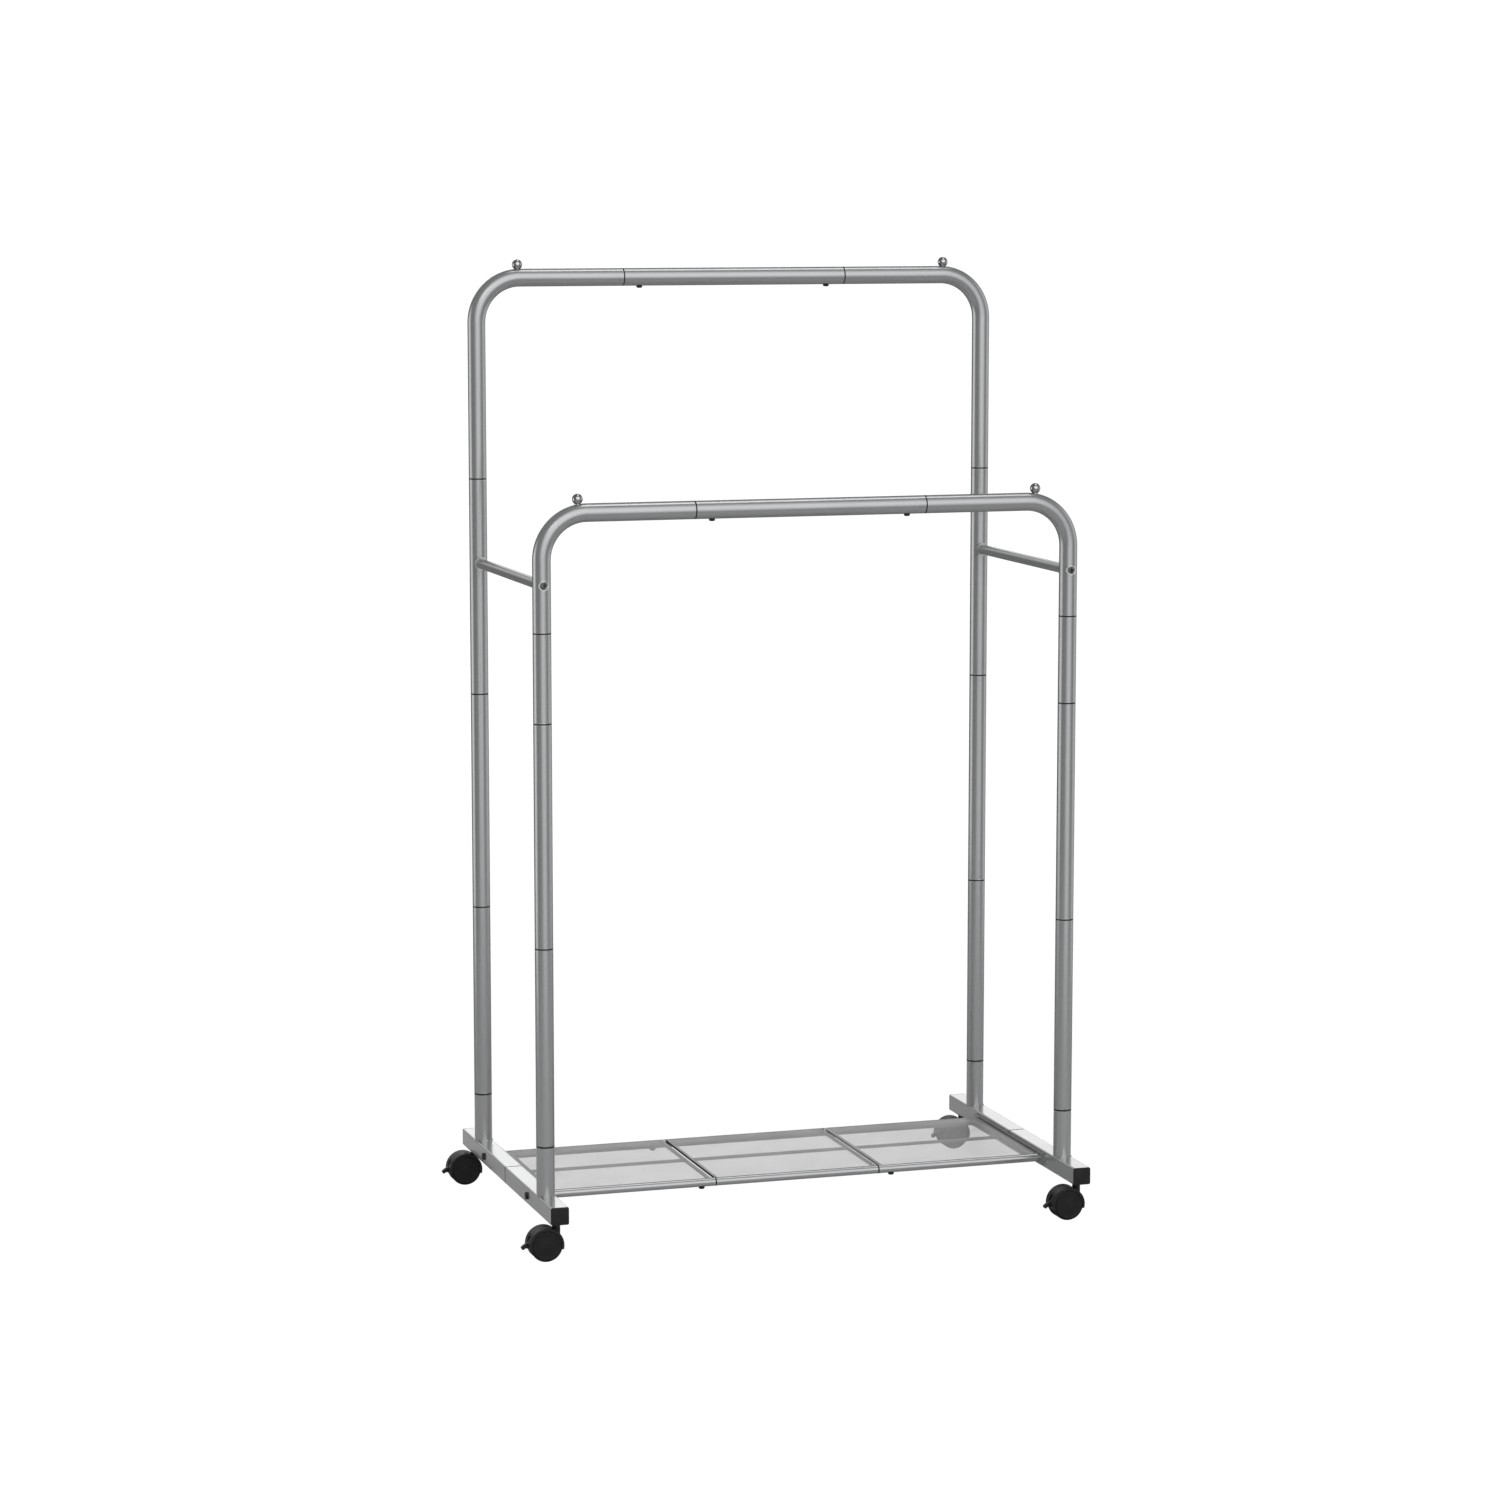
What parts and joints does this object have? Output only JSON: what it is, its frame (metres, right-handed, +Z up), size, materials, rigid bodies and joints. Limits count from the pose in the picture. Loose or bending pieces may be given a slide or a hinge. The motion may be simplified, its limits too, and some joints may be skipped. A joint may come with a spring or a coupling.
{
  "type": "rolling clothes rack",
  "caption": "Rolling clothes rack: a high and a low tubular hanging rail joined by tie rods, on square base beams with a wire mesh shelf and braked twin-wheel casters.",
  "frame": {"origin": "on the floor, midway between the four uprights", "axes": "+X along the hanging rails, +Y from the low rail towards the high rail, +Z up"},
  "size_m": [0.9154, 0.56, 1.4914],
  "materials": {
    "tube_enamel": "silver grey, semi-gloss",
    "mesh_wire": "light grey enamelled wire",
    "chrome": "polished",
    "steel": "zinc plated",
    "black_screw": "black oxide",
    "black_plastic": "satin"
  },
  "bodies": {
    "rack": {"rear_rail_bar": "tube_enamel", "rear_corner_left": "tube_enamel", "rear_middle_post_left": "tube_enamel", "rear_lower_post_left": "tube_enamel", "rear_corner_right": "tube_enamel", "rear_middle_post_right": "tube_enamel", "rear_lower_post_right": "tube_enamel", "front_rail_bar": "tube_enamel", "front_corner_left": "tube_enamel", "front_middle_post_left": "tube_enamel", "front_lower_post_left": "tube_enamel", "front_corner_right": "tube_enamel", "front_middle_post_right": "tube_enamel", "front_lower_post_right": "tube_enamel", "rear_upper_post_left": "tube_enamel", "front_short_post_left": "tube_enamel", "tie_rod_left": "tube_enamel", "beam_sleeve_left": "steel", "base_beam_front_left": "tube_enamel", "base_beam_rear_left": "tube_enamel", "rear_upper_post_right": "tube_enamel", "front_short_post_right": "tube_enamel", "tie_rod_right": "tube_enamel", "beam_sleeve_right": "steel", "base_beam_front_right": "tube_enamel", "base_beam_rear_right": "tube_enamel", "rail_finials": "chrome", "beam_end_caps": "black_plastic", "shelf_frame_left": "tube_enamel", "shelf_mesh_left": "mesh_wire", "shelf_frame_middle": "tube_enamel", "shelf_mesh_middle": "mesh_wire", "shelf_frame_right": "tube_enamel", "shelf_mesh_right": "mesh_wire", "rail_screws": "black_screw", "tie_rod_bolts": "black_screw", "shelf_bolts": "black_screw", "caster_stems": "steel", "caster_nuts": "steel"},
    "swivel_front_left": {"caster_hood_front_left": "black_plastic", "caster_axle_front_left": "steel"},
    "wheel_a_front_left": {"caster_wheel_a_front_left": "black_plastic"},
    "wheel_b_front_left": {"caster_wheel_b_front_left": "black_plastic"},
    "lever_front_left": {"brake_lever_front_left": "black_plastic"},
    "swivel_front_right": {"caster_hood_front_right": "black_plastic", "caster_axle_front_right": "steel"},
    "wheel_a_front_right": {"caster_wheel_a_front_right": "black_plastic"},
    "wheel_b_front_right": {"caster_wheel_b_front_right": "black_plastic"},
    "lever_front_right": {"brake_lever_front_right": "black_plastic"},
    "swivel_rear_left": {"caster_hood_rear_left": "black_plastic", "caster_axle_rear_left": "steel"},
    "wheel_a_rear_left": {"caster_wheel_a_rear_left": "black_plastic"},
    "wheel_b_rear_left": {"caster_wheel_b_rear_left": "black_plastic"},
    "lever_rear_left": {"brake_lever_rear_left": "black_plastic"},
    "swivel_rear_right": {"caster_hood_rear_right": "black_plastic", "caster_axle_rear_right": "steel"},
    "wheel_a_rear_right": {"caster_wheel_a_rear_right": "black_plastic"},
    "wheel_b_rear_right": {"caster_wheel_b_rear_right": "black_plastic"},
    "lever_rear_right": {"brake_lever_rear_right": "black_plastic"}
  },
  "joints": [
    {"name": "swivel_turn_front_left", "type": "hinge", "parent": "rack", "child": "swivel_front_left", "pos_m": [-0.422, -0.2555, 0.045], "axis": [0, 0, 1], "continuous": true},
    {"name": "wheel_spin_a_front_left", "type": "hinge", "parent": "swivel_front_left", "child": "wheel_a_front_left", "pos_m": [-0.44, -0.2555, 0.025], "axis": [0, 1, 0], "continuous": true},
    {"name": "wheel_spin_b_front_left", "type": "hinge", "parent": "swivel_front_left", "child": "wheel_b_front_left", "pos_m": [-0.44, -0.2555, 0.025], "axis": [0, 1, 0], "continuous": true},
    {"name": "brake_tip_front_left", "type": "hinge", "parent": "swivel_front_left", "child": "lever_front_left", "pos_m": [-0.456, -0.2555, 0.0313], "axis": [0, -1, 0], "range_deg": [0, 12]},
    {"name": "swivel_turn_front_right", "type": "hinge", "parent": "rack", "child": "swivel_front_right", "pos_m": [0.422, -0.2555, 0.045], "axis": [0, 0, 1], "continuous": true},
    {"name": "wheel_spin_a_front_right", "type": "hinge", "parent": "swivel_front_right", "child": "wheel_a_front_right", "pos_m": [0.404, -0.2555, 0.025], "axis": [0, 1, 0], "continuous": true},
    {"name": "wheel_spin_b_front_right", "type": "hinge", "parent": "swivel_front_right", "child": "wheel_b_front_right", "pos_m": [0.404, -0.2555, 0.025], "axis": [0, 1, 0], "continuous": true},
    {"name": "brake_tip_front_right", "type": "hinge", "parent": "swivel_front_right", "child": "lever_front_right", "pos_m": [0.388, -0.2555, 0.0313], "axis": [0, -1, 0], "range_deg": [0, 12]},
    {"name": "swivel_turn_rear_left", "type": "hinge", "parent": "rack", "child": "swivel_rear_left", "pos_m": [-0.422, 0.2555, 0.045], "axis": [0, 0, 1], "continuous": true},
    {"name": "wheel_spin_a_rear_left", "type": "hinge", "parent": "swivel_rear_left", "child": "wheel_a_rear_left", "pos_m": [-0.44, 0.2555, 0.025], "axis": [0, 1, 0], "continuous": true},
    {"name": "wheel_spin_b_rear_left", "type": "hinge", "parent": "swivel_rear_left", "child": "wheel_b_rear_left", "pos_m": [-0.44, 0.2555, 0.025], "axis": [0, 1, 0], "continuous": true},
    {"name": "brake_tip_rear_left", "type": "hinge", "parent": "swivel_rear_left", "child": "lever_rear_left", "pos_m": [-0.456, 0.2555, 0.0313], "axis": [0, -1, 0], "range_deg": [0, 12]},
    {"name": "swivel_turn_rear_right", "type": "hinge", "parent": "rack", "child": "swivel_rear_right", "pos_m": [0.422, 0.2555, 0.045], "axis": [0, 0, 1], "continuous": true},
    {"name": "wheel_spin_a_rear_right", "type": "hinge", "parent": "swivel_rear_right", "child": "wheel_a_rear_right", "pos_m": [0.404, 0.2555, 0.025], "axis": [0, 1, 0], "continuous": true},
    {"name": "wheel_spin_b_rear_right", "type": "hinge", "parent": "swivel_rear_right", "child": "wheel_b_rear_right", "pos_m": [0.404, 0.2555, 0.025], "axis": [0, 1, 0], "continuous": true},
    {"name": "brake_tip_rear_right", "type": "hinge", "parent": "swivel_rear_right", "child": "lever_rear_right", "pos_m": [0.388, 0.2555, 0.0313], "axis": [0, -1, 0], "range_deg": [0, 12]}
  ]
}
